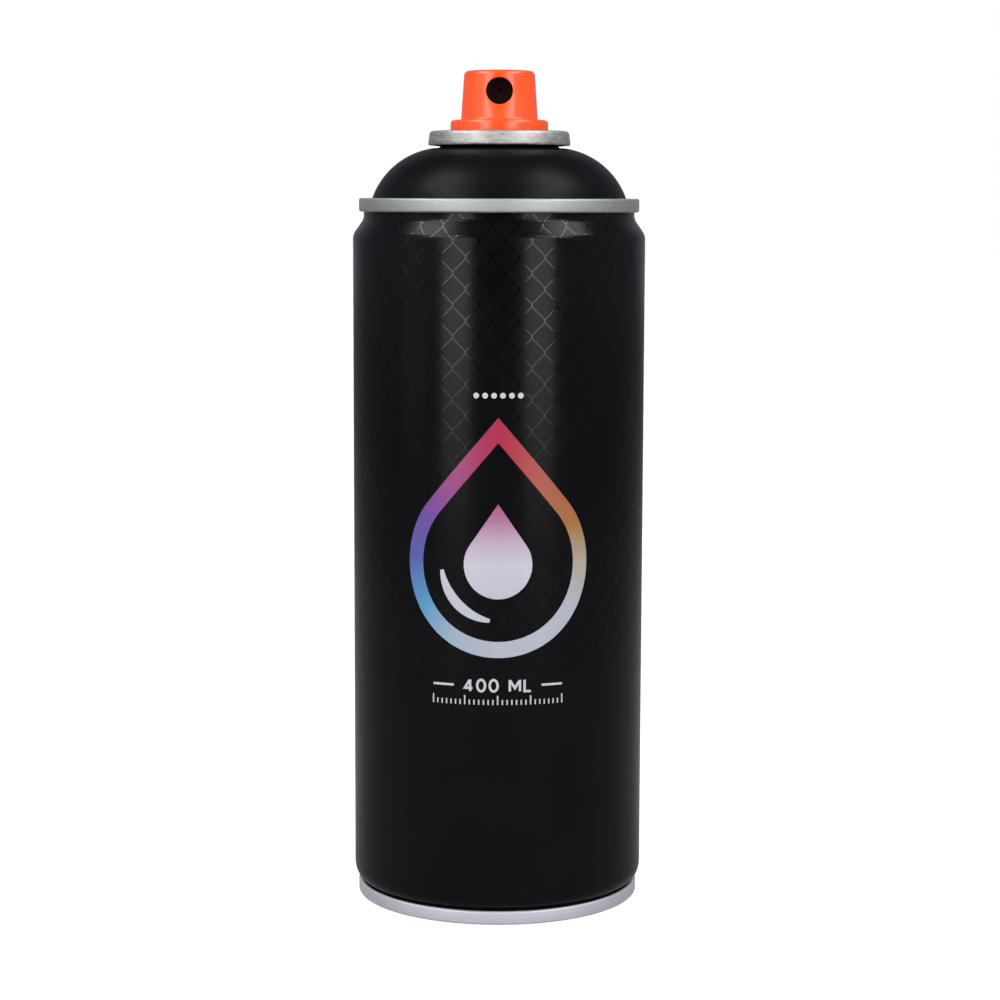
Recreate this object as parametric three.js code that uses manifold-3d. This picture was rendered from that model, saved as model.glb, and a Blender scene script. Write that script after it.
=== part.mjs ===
// A 400 ml aerosol spray-paint can of 65 x 157 mm tinplate, standing without its overcap.
//
// Frame: millimetres, +Z up, origin at the middle of the foot ring. The nozzle points along -Y.
// The tinplate pieces are pressed or rolled sheet, so each one is a path for the middle of the
// sheet, given a thickness and turned about Z. The body is joined to its two ends by true double
// seams, in which the hook of the end holds the hook of the body. A one inch mounting cup is
// clinched into the mouth of the top end, and holds a female valve with its spring and dip tube.
// The actuator's own stem plugs into that valve.

import * as THREE from "three";
import { mergeVertices } from "three/addons/utils/BufferGeometryUtils.js";
import Module from "manifold-3d";

const wasm = await Module();
wasm.setup();

// Driving sizes of the can
const CAN_RADIUS = 32.6;
const SHELL_HEIGHT = 157.2; // foot ring to the top of the upper seam
const TOP_SEAM_RADIUS = 31.2;
const FOOT_SEAM_RADIUS = 31.7;
const CUP_RADIUS = 15.8;
const CUP_TOP = 172.0;
const ACTUATOR_TOP = 185.2;

// Sheets, and the clearance between pieces that touch on the real can
const BODY_SHEET = 0.22;
const END_SHEET = 0.3;
const CUP_SHEET = 0.28;
const GAP = 0.08;

// Facets round a full turn
const SHELL_SIDES = 28;
const ACTUATOR_SIDES = 28;
const VALVE_SIDES = 16;

const DEGREE = Math.PI / 180;

// ---------------------------------------------------------------- outlines, as [radius, height]

// Points along an elliptical arc. Angles are in degrees, from the outward direction.
function arc(centre, radii, from, to, steps) {
  return Array.from({ length: steps + 1 }, (_, i) => {
    const angle = (from + ((to - from) * i) / steps) * DEGREE;
    return [centre[0] + radii[0] * Math.cos(angle), centre[1] + radii[1] * Math.sin(angle)];
  });
}

const round = (centre, radius, from, to, steps) => arc(centre, [radius, radius], from, to, steps);

// A seam is drawn with depths measured inwards from its outer end; this puts it at its height.
const atTop = (path) => path.map(([r, depth]) => [r, SHELL_HEIGHT - depth]);

// The path moved sideways by a distance, with its corners mitred. A point on the axis stays on it.
function offsetPath(path, distance) {
  const direction = (a, b) => new THREE.Vector2(b[0] - a[0], b[1] - a[1]).normalize();
  return path.map((point, i) => {
    const before = direction(path[Math.max(i - 1, 0)], path[Math.max(i, 1)]);
    const after = direction(path[Math.min(i, path.length - 2)], path[Math.min(i + 1, path.length - 1)]);
    const middle = before.clone().add(after).normalize();
    const reach = distance / middle.dot(after);
    const radius = point[0] === 0 ? 0 : point[0] - middle.y * reach;
    return [radius, point[1] + middle.x * reach];
  });
}

// The closed outline of a sheet whose middle follows the path.
function sheetOutline(path, thickness) {
  const oneFace = offsetPath(path, thickness / 2);
  const otherFace = offsetPath(path, -thickness / 2);
  return [...oneFace, ...otherFace.reverse()];
}

// ---------------------------------------------------------------- solids

// Turns an outline about Z. An outline that stays off the axis is closed on itself.
function turned(outline, sides) {
  const doubledArea = outline.reduce((sum, [r, z], i) => {
    const [nextR, nextZ] = outline[(i + 1) % outline.length];
    return sum + r * nextZ - nextR * z;
  }, 0);
  const points = doubledArea < 0 ? [...outline].reverse() : [...outline];
  const onAxis = (i) => points[i % points.length][0] === 0;
  const axisEdge = points.findIndex((_, i) => onAxis(i) && onAxis(i + 1));
  if (axisEdge >= 0) {
    points.push(...points.splice(0, axisEdge + 1));
  } else {
    points.push(points[0]);
  }
  const profile = points.map(([r, z]) => new THREE.Vector2(r, z));
  return new THREE.LatheGeometry(profile, sides).rotateX(Math.PI / 2);
}

const sheetSolid = (path, thickness) => turned(sheetOutline(path, thickness), SHELL_SIDES);

// A flat ring or washer.
function ring(innerRadius, outerRadius, low, high, sides) {
  const corners = [
    [innerRadius, low],
    [outerRadius, low],
    [outerRadius, high],
    [innerRadius, high],
  ];
  return turned(corners, sides);
}

// A geometry as a manifold-3d solid, and back.
function solid(geometry) {
  const bare = geometry.index ? geometry.toNonIndexed() : geometry.clone();
  bare.deleteAttribute("normal");
  bare.deleteAttribute("uv");
  const merged = mergeVertices(bare, 1e-4);
  const vertProperties = merged.attributes.position.array;
  const triVerts = new Uint32Array(merged.index.array);
  return new wasm.Manifold(new wasm.Mesh({ numProp: 3, vertProperties, triVerts }));
}

function geometryOf(made) {
  const mesh = made.getMesh();
  const geometry = new THREE.BufferGeometry();
  geometry.setAttribute("position", new THREE.BufferAttribute(mesh.vertProperties, 3));
  geometry.setIndex(new THREE.BufferAttribute(mesh.triVerts, 1));
  return geometry;
}

// A cylinder along Y from one place to another, at a height.
function alongY(radius, fromY, toY, height, sides) {
  const length = Math.abs(toY - fromY);
  const cylinder = new THREE.CylinderGeometry(radius, radius, length, sides);
  return cylinder.translate(0, (fromY + toY) / 2, height);
}

// ---------------------------------------------------------------- the double seams

// Middles of the five layers of a seam, from its outside inwards.
function seamLayers(seamRadius) {
  const coverWall = seamRadius - END_SHEET / 2;
  const step = (END_SHEET + BODY_SHEET) / 2 + GAP;
  return {
    coverWall,
    bodyHook: coverWall - step,
    coverHook: coverWall - 2 * step,
    bodyWall: coverWall - 3 * step,
    chuckWall: coverWall - 4 * step,
  };
}

const SEAM_HEIGHT = 3.0;
const SEAM_CORNER = 0.35;
const HOOK_TIP_DEPTH = 1.15;
const BODY_HOOK_BEND_DEPTH = 1.13;
const BODY_HOOK_TIP_DEPTH = 2.35;

// The end's share of a seam: from the tip of its hook, round the outside, to the chuck wall.
function coverSeam(seamRadius) {
  const layer = seamLayers(seamRadius);
  const outer = END_SHEET / 2;
  const bend = (layer.coverWall - layer.coverHook) / 2;
  const bendDepth = SEAM_HEIGHT - outer - bend;
  const cornerDepth = outer + SEAM_CORNER;
  return [
    [layer.coverHook, HOOK_TIP_DEPTH],
    ...round([layer.coverHook + bend, bendDepth], bend, 180, 0, 2),
    ...round([layer.coverWall - SEAM_CORNER, cornerDepth], SEAM_CORNER, 0, -90, 1),
    ...round([layer.chuckWall + SEAM_CORNER, cornerDepth], SEAM_CORNER, -90, -180, 1),
  ];
}

// The body's share of a seam: from its wall, over the bend, to the tip of its hook.
function bodySeam(seamRadius) {
  const layer = seamLayers(seamRadius);
  const bend = (layer.bodyHook - layer.bodyWall) / 2;
  return [
    ...round([layer.bodyWall + bend, BODY_HOOK_BEND_DEPTH], bend, -180, 0, 2),
    [layer.bodyHook, BODY_HOOK_TIP_DEPTH],
  ];
}

// The ring of lining compound that seals a seam, between the body hook and the end's fold.
function seamCompound(seamRadius) {
  const inner = seamRadius - 1.15;
  const outer = seamRadius - 0.55;
  const shallow = END_SHEET + GAP;
  const deep = 0.6;
  return ring(inner, outer, shallow, deep, SHELL_SIDES);
}

// ---------------------------------------------------------------- the shell

const WALL = CAN_RADIUS - BODY_SHEET / 2;

// The tinplate cylinder, necked in at both ends to meet its seams.
function canBody() {
  const foot = seamLayers(FOOT_SEAM_RADIUS).bodyWall;
  const head = seamLayers(TOP_SEAM_RADIUS).bodyWall;
  const lean = 33.5;
  const shoulder = { radius: 2.89, height: 148.2 };
  const neck = { radius: 2.51, height: 153.39 };
  const path = [
    ...bodySeam(FOOT_SEAM_RADIUS).reverse(),
    [foot, 3.3],
    ...arc([30.4, 7.0], [WALL - 30.4, 3.49], -70, 0, 2),
    ...round([WALL - shoulder.radius, shoulder.height], shoulder.radius, 0, lean, 2),
    ...round([head + neck.radius, neck.height], neck.radius, 180 + lean, 180, 2),
    ...atTop(bodySeam(TOP_SEAM_RADIUS)),
  ];
  return sheetSolid(path, BODY_SHEET);
}

// The domed top end, with the one inch mouth whose edge is curled outwards into a bead.
const DOME = { centre: [12.33, 151.44], radius: 16.8, from: 11.9, to: 81.2 };
const MOUTH_BEND = { centre: [13.75, 169.0], radius: 0.9 };
const BEAD = { centre: [13.95, 170.0], radii: [1.1, 1.15] };

function topDome() {
  const chuckWall = seamLayers(TOP_SEAM_RADIUS).chuckWall;
  const domeFoot = DOME.centre[0] + DOME.radius * Math.cos(DOME.from * DEGREE);
  const grooveRadius = (chuckWall - domeFoot) / 2;
  const path = [
    ...atTop(coverSeam(TOP_SEAM_RADIUS)),
    ...round([domeFoot + grooveRadius, 154.9], grooveRadius, 0, -180, 2).slice(0, -1),
    ...round(DOME.centre, DOME.radius, DOME.from, DOME.to, 6),
    ...round(MOUTH_BEND.centre, MOUTH_BEND.radius, 270, 180, 1),
    ...arc(BEAD.centre, BEAD.radii, 180, -95, 5),
  ];
  return sheetSolid(path, END_SHEET);
}

// The base end, pressed inwards into a shallow dome that stands on its own seam.
const BASE_DOME = { rise: 11.45, radius: 62.3, rim: 28.5 };

// Height of the middle of the base dome's sheet at a distance from the axis.
function baseDomeHeight(distance) {
  return BASE_DOME.rise - BASE_DOME.radius + Math.sqrt(BASE_DOME.radius ** 2 - distance ** 2);
}

function baseEnd() {
  const chuckWall = seamLayers(FOOT_SEAM_RADIUS).chuckWall;
  const bend = 0.8;
  const domeCentre = [0, BASE_DOME.rise - BASE_DOME.radius];
  const path = [
    ...coverSeam(FOOT_SEAM_RADIUS),
    ...round([chuckWall - bend, 3.2], bend, 0, 90 - BASE_DOME.rim, 1),
    ...round(domeCentre, BASE_DOME.radius, 90 - BASE_DOME.rim + 4, 90, 4).slice(0, -1),
    [0, BASE_DOME.rise],
  ];
  return sheetSolid(path, END_SHEET);
}

// ---------------------------------------------------------------- the valve
// Heights in this section are measured down from the top of the mounting cup.

const CUP_FLOOR = -6.5; // middle of the sheet
const PEDESTAL_TOP = -1.54; // middle of the sheet
const GASKET_TOP = PEDESTAL_TOP - CUP_SHEET / 2 - GAP;
const GASKET_BOTTOM = GASKET_TOP - 1.1;
const HOUSING_TOP = GASKET_BOTTOM - GAP;
const CHAMBER_FLOOR = -14.8;
const SEAT_BASE = -8.4;
const STEM_RADIUS = 1.9;
const STEM_END = -4.5;

// The mounting cup: curl over the bead, wall clinched under it, floor and crimped pedestal.
function mountingCup() {
  const wall = CUP_RADIUS - CUP_SHEET / 2;
  const top = -CUP_SHEET / 2;
  const path = [
    [wall, -3.05],
    ...round([wall - 0.66, top - 0.66], 0.66, 0, 90, 2),
    ...round([13.0, top - 0.56], 0.56, 90, 180, 2),
    [12.44, -3.4],
    [13.1, -4.25],
    [13.1, -5.0],
    [12.5, -6.1],
    [11.8, CUP_FLOOR],
    [6.3, CUP_FLOOR],
    [5.2, -5.6],
    [5.2, -5.1],
    [5.44, -4.6],
    ...round([4.94, PEDESTAL_TOP - 0.5], 0.5, 0, 90, 2),
    [2.4, PEDESTAL_TOP],
  ];
  return sheetSolid(path, CUP_SHEET);
}

// The washer between the cup's curl and the bead of the mouth.
function cupGasket() {
  const top = -CUP_SHEET - GAP;
  const thickness = 0.26;
  return ring(13.1, 15.0, top - thickness, top, SHELL_SIDES);
}

// The washer under the pedestal, which seals against the seat and grips the actuator's stem.
function stemGasket() {
  return ring(STEM_RADIUS + 0.15, 4.7, GASKET_BOTTOM, GASKET_TOP, VALVE_SIDES);
}

// The moulded valve housing, with the barbed tailpiece that carries the dip tube.
function valveHousing() {
  const bore = 0.9;
  const outline = [
    [bore, -21.4],
    [1.6, -21.4],
    [STEM_RADIUS, -20.6],
    [1.7, -19.4],
    [1.7, -15.8],
    [4.2, -15.8],
    [4.5, -15.2],
    [4.5, -4.9],
    [5.1, -4.3],
    [5.1, HOUSING_TOP],
    [3.7, HOUSING_TOP],
    [3.7, CHAMBER_FLOOR],
    [bore, CHAMBER_FLOOR],
  ];
  return turned(outline, VALVE_SIDES);
}

// The moving seat: a sealing lip, a socket for the stem, a spigot for the spring and four flutes.
function valveSeat() {
  const outline = [
    [0, -10.4],
    [1.4, -10.4],
    [1.4, SEAT_BASE],
    [3.3, SEAT_BASE],
    [3.3, HOUSING_TOP - 0.77],
    [2.9, HOUSING_TOP],
    [2.4, HOUSING_TOP],
    [2.1, HOUSING_TOP - 0.3],
    [2.1, STEM_END - 0.1],
    [0, STEM_END - 0.1],
  ];
  const flute = { radius: 0.55, length: 4.6, orbit: 3.5 };
  let made = solid(turned(outline, VALVE_SIDES));
  for (let i = 0; i < 4; i += 1) {
    const angle = (45 + 90 * i) * DEGREE;
    const cutter = new THREE.CylinderGeometry(flute.radius, flute.radius, flute.length, 8);
    cutter.rotateX(Math.PI / 2);
    const x = flute.orbit * Math.cos(angle);
    const y = flute.orbit * Math.sin(angle);
    cutter.translate(x, y, SEAT_BASE - 0.1 + flute.length / 2);
    made = made.subtract(solid(cutter));
  }
  return geometryOf(made);
}

// The middle of a compression spring's wire. Its first and last turns lie closed.
class SpringCurve extends THREE.Curve {
  constructor(radius, wireRadius, low, high, turns) {
    super();
    Object.assign(this, { radius, wireRadius, low, high, turns });
  }

  getPoint(share) {
    const closedRise = 2 * this.wireRadius + GAP;
    const openRise = this.high - this.low - 2 * closedRise;
    const turn = share * this.turns;
    const inOpenTurns = THREE.MathUtils.clamp(turn - 1, 0, this.turns - 2);
    const inClosedTurns = turn - inOpenTurns;
    const height = this.low + inClosedTurns * closedRise + (openRise * inOpenTurns) / (this.turns - 2);
    const angle = turn * 2 * Math.PI;
    return new THREE.Vector3(this.radius * Math.cos(angle), this.radius * Math.sin(angle), height);
  }
}

// A ring-shaped or plain section swept along a curve.
function swept(curve, outerRadius, innerRadius, sides, steps) {
  const circle = (radius) =>
    Array.from({ length: sides }, (_, i) => {
      const angle = (2 * Math.PI * i) / sides;
      return new THREE.Vector2(radius * Math.cos(angle), radius * Math.sin(angle));
    });
  const section = new THREE.Shape(circle(outerRadius));
  if (innerRadius > 0) {
    section.holes.push(new THREE.Path(circle(innerRadius).reverse()));
  }
  return new THREE.ExtrudeGeometry(section, { extrudePath: curve, steps, bevelEnabled: false });
}

function valveSpring() {
  const coilRadius = 2.35;
  const wireRadius = 0.25;
  const low = CHAMBER_FLOOR + wireRadius + 0.1;
  const high = SEAT_BASE - wireRadius - 0.1;
  const turns = 6;
  const curve = new SpringCurve(coilRadius, wireRadius, low, high, turns);
  return swept(curve, wireRadius, 0, 5, 10 * turns);
}

// The dip tube hangs from the tailpiece and bends to the back of the base.
function dipTube() {
  const outerRadius = 2.6;
  const innerRadius = 2.05;
  const top = -16.1;
  const curve = new THREE.CubicBezierCurve3(
    new THREE.Vector3(0, 0, top),
    new THREE.Vector3(0, 0, top - 56),
    new THREE.Vector3(0, 4, top - 96),
    new THREE.Vector3(0, 21, 11 - CUP_TOP),
  );
  return swept(curve, outerRadius, innerRadius, 8, 16);
}

// ---------------------------------------------------------------- the actuator
// Heights in this section are measured up from the underside of the actuator's flange.

const ACTUATOR_BASE = 171.4;
const CAP_HEIGHT = ACTUATOR_TOP - ACTUATOR_BASE;
const FLANGE_RADIUS = 10.85;
const NOZZLE_HEIGHT = 9.2;
const NOZZLE_BORE = 2.95;
const INSERT_FRONT = -7.25;
const INSERT_BACK = -3.7;
const CHANNEL_RADIUS = 0.8;

// The outside of the button, with its stem, before any coring.
function buttonOutline() {
  const stemEnd = CUP_TOP + STEM_END - ACTUATOR_BASE;
  const edge = 1.1;
  return [
    [0, stemEnd],
    [STEM_RADIUS - 0.25, stemEnd],
    [STEM_RADIUS, stemEnd + 0.4],
    [STEM_RADIUS, 0],
    [FLANGE_RADIUS - 0.2, 0],
    [FLANGE_RADIUS, 0.2],
    ...round([FLANGE_RADIUS - 0.55, 2.4], 0.55, 0, 90, 2),
    [8.75, 2.95],
    [8.45, 3.25],
    ...round([7.85 - edge, CAP_HEIGHT - edge], edge, 0, 90, 2),
    [0, CAP_HEIGHT],
  ];
}

// What is cored out from below: the room inside the flange, and round the stem's boss.
function underCore() {
  return turned(
    [
      [STEM_RADIUS, -1],
      [FLANGE_RADIUS - 1.0, -1],
      [FLANGE_RADIUS - 1.1, 1.7],
      [7.0, 1.9],
      [6.7, 5.0],
      [2.7, 5.0],
      [2.7, 1.5],
      [STEM_RADIUS, 1.5],
    ],
    ACTUATOR_SIDES,
  );
}

// The finger pad's dish, flat in the middle.
function padDish() {
  return turned(
    [
      [0, CAP_HEIGHT - 0.75],
      [3.0, CAP_HEIGHT - 0.75],
      [4.6, CAP_HEIGHT - 0.55],
      [6.0, CAP_HEIGHT - 0.05],
      [6.3, CAP_HEIGHT + 0.6],
      [0, CAP_HEIGHT + 0.6],
    ],
    ACTUATOR_SIDES,
  );
}

// The button and its stem in one moulding, bored from the foot of the stem to the nozzle.
function actuatorButton() {
  const stemEnd = CUP_TOP + STEM_END - ACTUATOR_BASE;
  const boreTop = NOZZLE_HEIGHT + CHANNEL_RADIUS;
  const bore = new THREE.CylinderGeometry(CHANNEL_RADIUS, CHANNEL_RADIUS, boreTop - stemEnd + 1, 12);
  bore.rotateX(Math.PI / 2).translate(0, 0, (boreTop + stemEnd - 1) / 2);
  const inlet = new THREE.BoxGeometry(2 * STEM_RADIUS + 1, 0.9, 2.0).translate(0, 0, stemEnd);
  const cuts = [
    underCore(),
    padDish(),
    bore,
    inlet,
    alongY(NOZZLE_BORE, -FLANGE_RADIUS, INSERT_BACK + 0.1, NOZZLE_HEIGHT, 20),
    alongY(CHANNEL_RADIUS, -FLANGE_RADIUS, 0, NOZZLE_HEIGHT, 12),
  ];
  const button = solid(turned(buttonOutline(), ACTUATOR_SIDES));
  return geometryOf(cuts.reduce((made, cut) => made.subtract(solid(cut)), button));
}

// The nozzle insert: a plug with a dished face, a fine orifice and a swirl chamber behind it.
// It is turned about its own axis, with its face at height 0, and laid down by its mesh.
function nozzleInsert() {
  const length = INSERT_BACK - INSERT_FRONT;
  return turned(
    [
      [0.35, -0.7],
      [1.5, 0],
      [NOZZLE_BORE - 0.2, 0],
      [NOZZLE_BORE - GAP, -0.15],
      [NOZZLE_BORE - GAP, -length],
      [1.6, -length],
      [1.2, -1.2],
      [0.35, -1.2],
    ],
    20,
  );
}

// ---------------------------------------------------------------- materials

function material(color, roughness, metalness) {
  return new THREE.MeshStandardMaterial({ color, roughness, metalness });
}

const satinBlack = material(0x141416, 0.42, 0.1);
const mattBlack = material(0x18181a, 0.6, 0.1);
const tinplate = material(0xb9bbbc, 0.34, 1.0);
const cupPlate = material(0xc2c2be, 0.28, 1.0);
const orangePlastic = material(0xff5a24, 0.3, 0.0);
const blackPlastic = material(0x0c0909, 0.45, 0.0);
const nitrile = material(0x1d1d1f, 0.8, 0.0);
const compound = material(0x8a8f88, 0.8, 0.0);
const naturalPlastic = material(0xe6e2d6, 0.45, 0.0);
const tubePlastic = material(0xdfe3e2, 0.35, 0.0);
const springSteel = material(0xc8cacc, 0.22, 1.0);
const ballSteel = material(0xb4b6b8, 0.18, 1.0);

// ---------------------------------------------------------------- assembly

function place(parent, name, geometry, finish, position = [0, 0, 0]) {
  const mesh = new THREE.Mesh(geometry, finish);
  mesh.name = name;
  mesh.position.set(...position);
  parent.add(mesh);
  return mesh;
}

const sprayCan = new THREE.Group();

const shell = new THREE.Group();
sprayCan.add(shell);
place(shell, "can_body", canBody(), satinBlack);
place(shell, "top_dome", topDome(), mattBlack);
place(shell, "base_dome", baseEnd(), tinplate);
place(shell, "base_seam_compound", seamCompound(FOOT_SEAM_RADIUS), compound);
const topCompound = place(shell, "top_seam_compound", seamCompound(TOP_SEAM_RADIUS), compound);
topCompound.position.z = SHELL_HEIGHT;
topCompound.rotation.x = Math.PI;

const valve = new THREE.Group();
valve.position.z = CUP_TOP;
sprayCan.add(valve);
place(valve, "mounting_cup", mountingCup(), cupPlate);
place(valve, "cup_gasket", cupGasket(), nitrile);
place(valve, "stem_gasket", stemGasket(), nitrile);
place(valve, "valve_housing", valveHousing(), naturalPlastic);
place(valve, "valve_seat", valveSeat(), naturalPlastic);
place(valve, "valve_spring", valveSpring(), springSteel);
place(valve, "dip_tube", dipTube(), tubePlastic);

const actuator = new THREE.Group();
actuator.position.z = ACTUATOR_BASE;
sprayCan.add(actuator);
place(actuator, "actuator_button", actuatorButton(), orangePlastic);
const insertPlace = [0, INSERT_FRONT, NOZZLE_HEIGHT];
const insert = place(actuator, "nozzle_insert", nozzleInsert(), blackPlastic, insertPlace);
insert.rotation.x = Math.PI / 2;

// The two agitator balls lie in the channel between the base dome and the wall, at the front.
const BALL_RADIUS = 3.5;
const BALL_ORBIT = 28.5;
const BALL_CLEARANCE = 0.25;
[-115, -65].forEach((bearing, i) => {
  const slope = Math.asin(BALL_ORBIT / BASE_DOME.radius);
  const reach = BALL_RADIUS + END_SHEET / 2 + BALL_CLEARANCE;
  const height = baseDomeHeight(BALL_ORBIT) + reach / Math.cos(slope);
  const x = BALL_ORBIT * Math.cos(bearing * DEGREE);
  const y = BALL_ORBIT * Math.sin(bearing * DEGREE);
  const ball = new THREE.SphereGeometry(BALL_RADIUS, 12, 8);
  place(shell, `agitator_ball_${i + 1}`, ball, ballSteel, [x, y, height]);
});

export default sprayCan;
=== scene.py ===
"""The looks of a 400 ml aerosol spray-paint can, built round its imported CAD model.

Outlines are in millimetres, as (radius, height), and become metres when a mesh is made.
The sheet-metal pieces follow the same paths as the CAD solids, with finer arcs and rolled edges.
The nozzle points along -Y, the side that the camera sees.
"""

import math

import bmesh
import bpy
from mathutils import Matrix, Vector


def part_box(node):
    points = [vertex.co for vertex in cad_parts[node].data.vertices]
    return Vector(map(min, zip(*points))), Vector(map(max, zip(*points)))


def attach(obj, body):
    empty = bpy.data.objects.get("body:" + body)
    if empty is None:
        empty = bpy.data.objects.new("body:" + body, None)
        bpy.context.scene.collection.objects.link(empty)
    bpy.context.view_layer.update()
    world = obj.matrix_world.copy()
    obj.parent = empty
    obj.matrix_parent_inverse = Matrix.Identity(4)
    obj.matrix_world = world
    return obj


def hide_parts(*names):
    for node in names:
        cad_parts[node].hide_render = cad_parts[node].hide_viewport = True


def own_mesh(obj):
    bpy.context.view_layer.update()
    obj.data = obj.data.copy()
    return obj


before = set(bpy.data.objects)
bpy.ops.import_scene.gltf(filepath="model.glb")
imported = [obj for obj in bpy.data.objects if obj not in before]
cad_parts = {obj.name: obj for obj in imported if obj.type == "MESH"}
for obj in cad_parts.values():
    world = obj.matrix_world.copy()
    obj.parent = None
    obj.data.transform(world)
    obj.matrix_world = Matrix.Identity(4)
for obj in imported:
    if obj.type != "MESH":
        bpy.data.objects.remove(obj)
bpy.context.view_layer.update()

MM = 0.001
SIDES = 256  # facets round the sheet-metal pieces and the button
SMALL_SIDES = 128  # facets round the nozzle insert


# ---------------------------------------------------------------- sizes, read from the frame


def node_top(name):
    """Height of a CAD node's top, in mm."""
    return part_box(name)[1][2] / MM


def node_bottom(name):
    """Height of a CAD node's foot, in mm."""
    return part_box(name)[0][2] / MM


def node_radius(name):
    """Largest distance of a CAD node from the Z axis, in mm."""
    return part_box(name)[1][0] / MM


CAN_RADIUS = node_radius("can_body")
FOOT_SEAM_RADIUS = node_radius("base_dome")
TOP_SEAM_RADIUS = node_radius("top_dome")
CUP_RADIUS = node_radius("mounting_cup")
CUP_TOP = node_top("mounting_cup")
CAP_HEIGHT = 13.8  # underside of the flange to the top of the button
CAP_BASE = node_top("actuator_button") - CAP_HEIGHT
SHELL_HEIGHT = 157.2  # the can stands this tall over its two seams
PRINT_PROUD = 0.04  # how far the printed inks stand above the paint
VARNISH_PROUD = 0.014
PAINT_RADIUS = CAN_RADIUS - PRINT_PROUD

BODY_SHEET = 0.22  # thickness of the tinplate
END_SHEET = 0.3
CUP_SHEET = 0.28
GAP = 0.08  # between neighbouring layers and pieces
CREASE = 38  # an edge that turns more than this, in degrees, stays crisp
PRINT_CREASE = 60


# ---------------------------------------------------------------- outlines


def arc(centre, radii, start, end, steps):
    """Points along an elliptical arc. Angles are in degrees, from the outward direction."""
    points = []
    for i in range(steps + 1):
        angle = math.radians(start + (end - start) * i / steps)
        points.append((centre[0] + radii[0] * math.cos(angle), centre[1] + radii[1] * math.sin(angle)))
    return points


def circular(centre, radius, start, end, steps):
    """Points along a circular arc, with angles as in arc."""
    return arc(centre, (radius, radius), start, end, steps)


def from_top(path):
    """A seam's depths below the top of the shell, as heights."""
    return [(r, SHELL_HEIGHT - depth) for r, depth in path]


def offset_path(path, distance):
    """The path moved sideways, with mitred corners. A point on the axis stays on it."""
    moved = []
    for i, point in enumerate(path):
        before = Vector(path[max(i, 1)]) - Vector(path[max(i - 1, 0)])
        last = len(path) - 1
        after = Vector(path[min(i + 1, last)]) - Vector(path[min(i, last - 1)])
        middle = (before.normalized() + after.normalized()).normalized()
        reach = distance / middle.dot(after.normalized())
        radius = 0.0 if point[0] == 0 else point[0] - middle.y * reach
        moved.append((radius, point[1] + middle.x * reach))
    return moved


def sheet_outline(path, thickness):
    """The closed outline of a sheet whose middle follows the path."""
    return offset_path(path, thickness / 2) + offset_path(path, -thickness / 2)[::-1]


# ---------------------------------------------------------------- meshes


def shade(mesh, crease):
    """Smooth shading, with the mesh's creases kept crisp."""
    mesh.polygons.foreach_set("use_smooth", [True] * len(mesh.polygons))
    mesh.set_sharp_from_angle(angle=math.radians(crease))


def from_bmesh(name, bm, crease=CREASE):
    """A new smooth-shaded object in the scene, made of a bmesh that is then freed."""
    bmesh.ops.recalc_face_normals(bm, faces=bm.faces)
    mesh = bpy.data.meshes.new(name)
    bm.to_mesh(mesh)
    bm.free()
    shade(mesh, crease)
    piece = bpy.data.objects.new(name, mesh)
    bpy.context.scene.collection.objects.link(piece)
    return piece


def revolved(outline, sides):
    """A bmesh of a closed outline turned about Z."""
    bm = bmesh.new()
    rings = []
    for radius, height in outline:
        if radius == 0:
            rings.append([bm.verts.new((0, 0, height * MM))])
            continue
        ring = []
        for i in range(sides):
            angle = 2 * math.pi * i / sides
            place = (radius * math.cos(angle) * MM, radius * math.sin(angle) * MM, height * MM)
            ring.append(bm.verts.new(place))
        rings.append(ring)
    for low, high in zip(rings, rings[1:] + rings[:1]):
        if len(low) == 1 and len(high) == 1:
            continue
        for i in range(sides):
            j = (i + 1) % sides
            corners = [low[i % len(low)], low[j % len(low)], high[j % len(high)], high[i % len(high)]]
            bm.faces.new(list(dict.fromkeys(corners)))
    return bm


def lathe(name, outline, sides, crease=CREASE):
    """A new object turned about Z."""
    return from_bmesh(name, revolved(outline, sides), crease)


def sheet(name, path, thickness):
    """A new sheet-metal object, turned about Z, whose middle follows the path."""
    return lathe(name, sheet_outline(path, thickness), SIDES, crease=50)


def swept_tube(name, points, radius, sides):
    """A new object: a round wire along a list of Vectors, in mm."""
    bm = bmesh.new()
    rings = []
    for i, point in enumerate(points):
        ahead = points[min(i + 1, len(points) - 1)] - points[max(i - 1, 0)]
        side = ahead.cross(Vector((0, 0, 1))).normalized()
        up = side.cross(ahead).normalized()
        ring = []
        for k in range(sides):
            angle = 2 * math.pi * k / sides
            spoke = math.cos(angle) * side + math.sin(angle) * up
            ring.append(bm.verts.new((point + radius * spoke) * MM))
        rings.append(ring)
    for near, far in zip(rings, rings[1:]):
        for k in range(sides):
            m = (k + 1) % sides
            bm.faces.new((near[k], near[m], far[m], far[k]))
    bm.faces.new(rings[0][::-1])
    bm.faces.new(rings[-1])
    return from_bmesh(name, bm)


# ---------------------------------------------------------------- the shell

SEAM_HEIGHT = 3.0
SEAM_CORNER = 0.35
HOOK_TIP_DEPTH = 1.15
BODY_HOOK_BEND_DEPTH = 1.13
BODY_HOOK_TIP_DEPTH = 2.35


def seam_layers(seam_radius):
    """Middles of the five layers of a seam, from its outside inwards."""
    cover_wall = seam_radius - END_SHEET / 2
    step = (END_SHEET + BODY_SHEET) / 2 + GAP
    names = ("cover_wall", "body_hook", "cover_hook", "body_wall", "chuck_wall")
    return {name: cover_wall - i * step for i, name in enumerate(names)}


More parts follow.
